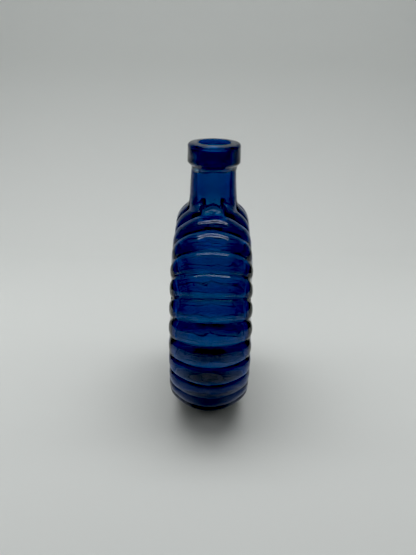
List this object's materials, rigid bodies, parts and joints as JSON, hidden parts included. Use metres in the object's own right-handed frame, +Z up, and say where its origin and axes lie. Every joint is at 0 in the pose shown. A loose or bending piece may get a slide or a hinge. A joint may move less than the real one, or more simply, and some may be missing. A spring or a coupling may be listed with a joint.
{
  "type": "moon flask bottle",
  "caption": "Round, flattened cobalt glass flask with ribs that run from a plain panel on each face over the rim, a round neck and a laid-on lip with an open mouth.",
  "frame": {"origin": "centre of the resting face under the foot", "axes": "+Z up along the neck, faces of the disc towards -Y and +Y, disc stands in the X-Z plane"},
  "size_m": [0.1254, 0.0446, 0.1537],
  "materials": {
    "cobalt_glass": "glossy moulded glass, a little wavy",
    "lip_glass": "glossy tooled glass with a duller mouth face"
  },
  "bodies": {
    "root": {"blown_body": "cobalt_glass", "applied_lip": "lip_glass"}
  },
  "joints": []
}
